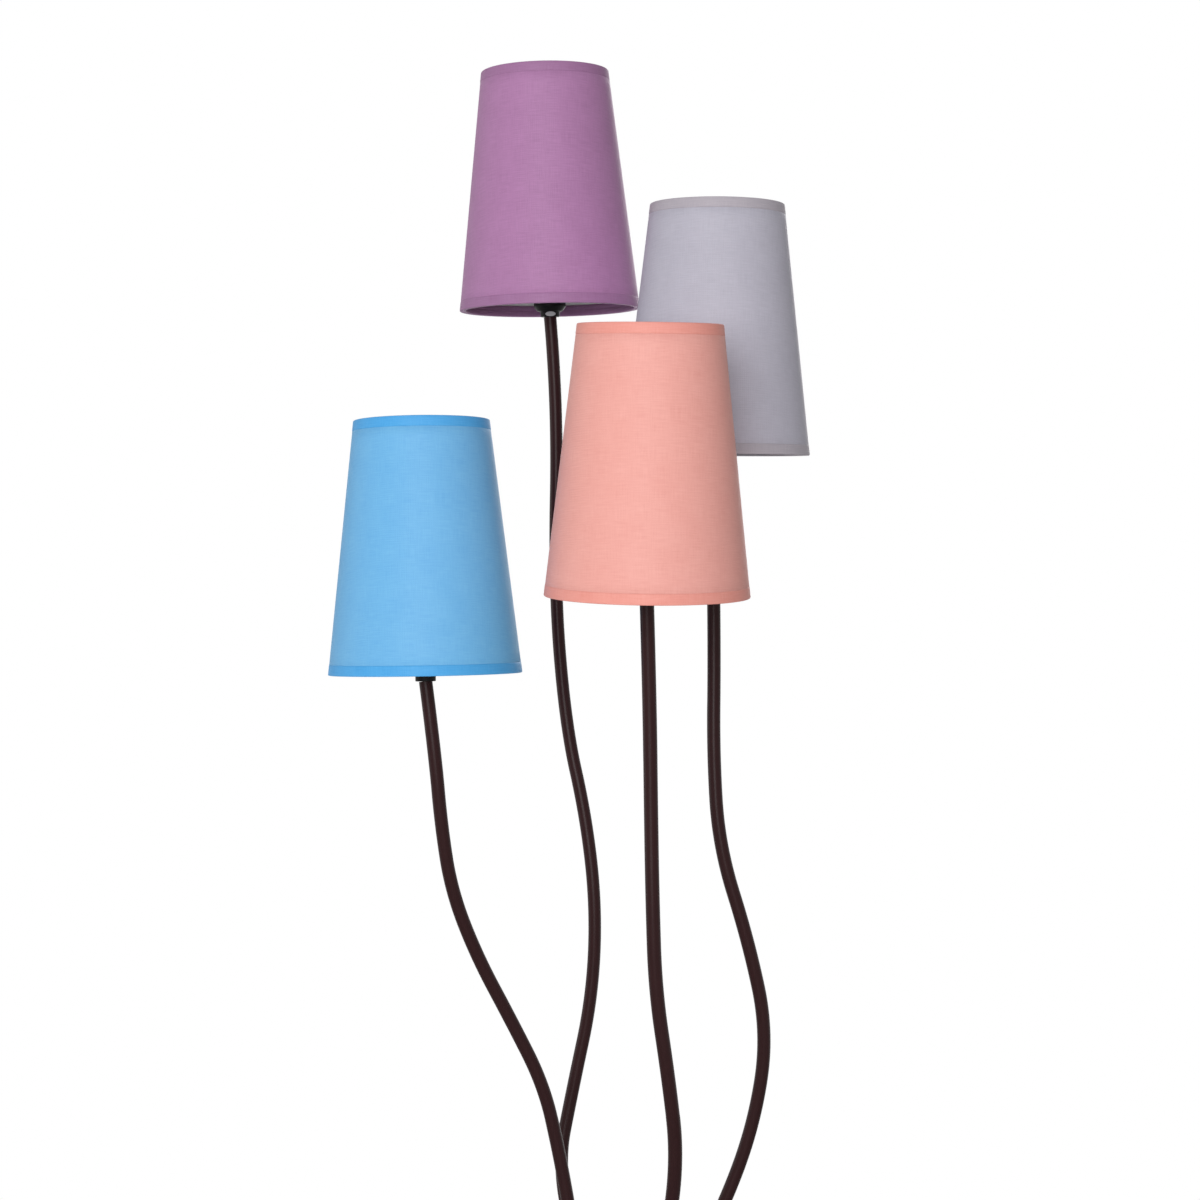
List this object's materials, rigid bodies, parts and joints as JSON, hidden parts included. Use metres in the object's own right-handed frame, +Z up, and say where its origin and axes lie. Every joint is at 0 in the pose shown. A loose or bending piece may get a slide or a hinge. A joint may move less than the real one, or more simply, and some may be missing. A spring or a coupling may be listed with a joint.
{
  "type": "tree floor lamp",
  "caption": "Floor lamp with flexible arms rising from a hub on a pole, each with a small tapered fabric shade that tilts and turns, on a weighted round base with a foot switch.",
  "frame": {"origin": "centre of the base underside, on the floor", "axes": "+Z up along the pole, -Y towards the viewer, where the foot switch is, +X to the right"},
  "size_m": [0.3538, 0.3834, 1.6006],
  "materials": {
    "felt": "pressed felt",
    "zinc_plated_steel": "zinc plated",
    "cast_iron": "as cast",
    "brown_lacquer": "satin lacquer",
    "white_nylon": "moulded",
    "lead_sheath": "extruded",
    "black_plastic": "moulded, fine texture",
    "spring_steel": "bright wire",
    "arm_sleeve": "satin, extruded",
    "holder_plastic": "moulded, satin",
    "bulb_cap_metal": "rolled",
    "opal_glass": "opal",
    "white_wire": "powder coated",
    "cloth_violet": "fine plain weave on a liner",
    "cloth_grey": "fine plain weave on a liner",
    "cloth_pink": "fine plain weave on a liner",
    "cloth_blue": "fine plain weave on a liner"
  },
  "bodies": {
    "stand": {"base_pad": "felt", "base_plate": "zinc_plated_steel", "plate_screws": "zinc_plated_steel", "base_ballast": "cast_iron", "base_cover": "brown_lacquer", "base_nipple": "zinc_plated_steel", "pole": "brown_lacquer", "pole_inserts": "zinc_plated_steel", "hub_nipple": "zinc_plated_steel", "hub_floor": "brown_lacquer", "hub_body": "brown_lacquer", "lock_nuts": "zinc_plated_steel", "terminal_block": "white_nylon", "pole_lead": "lead_sheath", "arm_leads": "lead_sheath", "cable_gland": "black_plastic", "gland_nut": "black_plastic", "switch_housing": "black_plastic", "switch_spring": "spring_steel", "arm_violet_lower": "arm_sleeve", "arm_grey_lower": "arm_sleeve", "arm_blue_lower": "arm_sleeve", "arm_pink_lower": "arm_sleeve"},
    "switch_button": {"switch_button": "black_plastic"},
    "arm_violet_middle": {"arm_violet_middle": "arm_sleeve"},
    "arm_violet_upper": {"arm_violet_upper": "arm_sleeve"},
    "head_violet": {"holder_violet_cap": "holder_plastic", "holder_violet_body": "holder_plastic", "holder_violet_ring": "holder_plastic", "bulb_violet_base": "bulb_cap_metal", "bulb_violet_glass": "opal_glass"},
    "shade_violet": {"shade_violet_cloth": "cloth_violet", "shade_violet_frame": "white_wire"},
    "arm_grey_middle": {"arm_grey_middle": "arm_sleeve"},
    "arm_grey_upper": {"arm_grey_upper": "arm_sleeve"},
    "head_grey": {"holder_grey_cap": "holder_plastic", "holder_grey_body": "holder_plastic", "holder_grey_ring": "holder_plastic", "bulb_grey_base": "bulb_cap_metal", "bulb_grey_glass": "opal_glass"},
    "shade_grey": {"shade_grey_cloth": "cloth_grey", "shade_grey_frame": "white_wire"},
    "arm_blue_middle": {"arm_blue_middle": "arm_sleeve"},
    "arm_blue_upper": {"arm_blue_upper": "arm_sleeve"},
    "head_blue": {"holder_blue_cap": "holder_plastic", "holder_blue_body": "holder_plastic", "holder_blue_ring": "holder_plastic", "bulb_blue_base": "bulb_cap_metal", "bulb_blue_glass": "opal_glass"},
    "shade_blue": {"shade_blue_cloth": "cloth_blue", "shade_blue_frame": "white_wire"},
    "arm_pink_middle": {"arm_pink_middle": "arm_sleeve"},
    "arm_pink_upper": {"arm_pink_upper": "arm_sleeve"},
    "head_pink": {"holder_pink_cap": "holder_plastic", "holder_pink_body": "holder_plastic", "holder_pink_ring": "holder_plastic", "bulb_pink_base": "bulb_cap_metal", "bulb_pink_glass": "opal_glass"},
    "shade_pink": {"shade_pink_cloth": "cloth_pink", "shade_pink_frame": "white_wire"}
  },
  "joints": [
    {"name": "foot_switch_press", "type": "slide", "parent": "stand", "child": "switch_button", "axis": [0, 0, -1], "range_m": [0, 0.003], "stiffness_N_per_m": 400, "springref_m": -0.003, "deforming": ["switch_spring"]},
    {"name": "violet_arm_low_bend", "type": "hinge", "parent": "stand", "child": "arm_violet_middle", "pos_m": [-0.033, 0.0595, 0.705], "axis": [-0.9254, -0.379, 0], "range_deg": [0, 25]},
    {"name": "violet_arm_mid_bend", "type": "hinge", "parent": "arm_violet_middle", "child": "arm_violet_upper", "pos_m": [-0.031, 0.1065, 1.055], "axis": [-0.379, 0.9254, 0], "range_deg": [-18, 8]},
    {"name": "violet_head_tilt", "type": "hinge", "parent": "arm_violet_upper", "child": "head_violet", "pos_m": [-0.051, 0.125, 1.406], "axis": [-0.9254, -0.379, 0], "range_deg": [-12, 28]},
    {"name": "violet_shade_turn", "type": "hinge", "parent": "head_violet", "child": "shade_violet", "pos_m": [-0.05119, 0.12498, 1.415], "axis": [-0.0209, -0.0017, 0.9998], "continuous": true},
    {"name": "grey_arm_low_bend", "type": "hinge", "parent": "stand", "child": "arm_grey_middle", "pos_m": [0.0595, 0.011, 0.6975], "axis": [-0.346, 0.9382, 0], "range_deg": [0, 25]},
    {"name": "grey_arm_mid_bend", "type": "hinge", "parent": "arm_grey_middle", "child": "arm_grey_upper", "pos_m": [0.087, 0.008, 0.975], "axis": [-0.346, 0.9382, 0], "range_deg": [0, 28]},
    {"name": "grey_head_tilt", "type": "hinge", "parent": "arm_grey_upper", "child": "head_grey", "pos_m": [0.073, 0.027, 1.291], "axis": [0.9382, 0.346, 0], "range_deg": [-10, 10]},
    {"name": "grey_shade_turn", "type": "hinge", "parent": "head_grey", "child": "shade_grey", "pos_m": [0.07308, 0.02695, 1.3], "axis": [0.0087, -0.0052, 0.9999], "continuous": true},
    {"name": "blue_arm_low_bend", "type": "hinge", "parent": "stand", "child": "arm_blue_middle", "pos_m": [-0.029, 0.012, 0.69], "axis": [0.0935, -0.9956, 0], "range_deg": [0, 25]},
    {"name": "blue_arm_mid_bend", "type": "hinge", "parent": "arm_blue_middle", "child": "arm_blue_upper", "pos_m": [-0.0905, 0.0045, 0.905], "axis": [-0.9956, -0.0935, 0], "range_deg": [-5, 18]},
    {"name": "blue_head_tilt", "type": "hinge", "parent": "arm_blue_upper", "child": "head_blue", "pos_m": [-0.139, -0.0135, 1.131], "axis": [0.0935, -0.9956, 0], "range_deg": [-20, 28]},
    {"name": "blue_shade_turn", "type": "hinge", "parent": "head_blue", "child": "shade_blue", "pos_m": [-0.13914, -0.01306, 1.13999], "axis": [-0.0157, 0.0488, 0.9987], "continuous": true},
    {"name": "pink_arm_low_bend", "type": "hinge", "parent": "stand", "child": "arm_pink_middle", "pos_m": [0.0255, -0.0655, 0.7025], "axis": [0.9855, 0.1694, 0], "range_deg": [0, 25]},
    {"name": "pink_arm_mid_bend", "type": "hinge", "parent": "arm_pink_middle", "child": "arm_pink_upper", "pos_m": [0.025, -0.1205, 0.96], "axis": [0.1694, -0.9855, 0], "range_deg": [-5, 14]},
    {"name": "pink_head_tilt", "type": "hinge", "parent": "arm_pink_upper", "child": "head_pink", "pos_m": [0.02, -0.1165, 1.192], "axis": [0.9855, 0.1694, 0], "range_deg": [-6, 28]},
    {"name": "pink_shade_turn", "type": "hinge", "parent": "head_pink", "child": "shade_pink", "pos_m": [0.02009, -0.11691, 1.20099], "axis": [0.0105, -0.0454, 0.9989], "continuous": true}
  ]
}
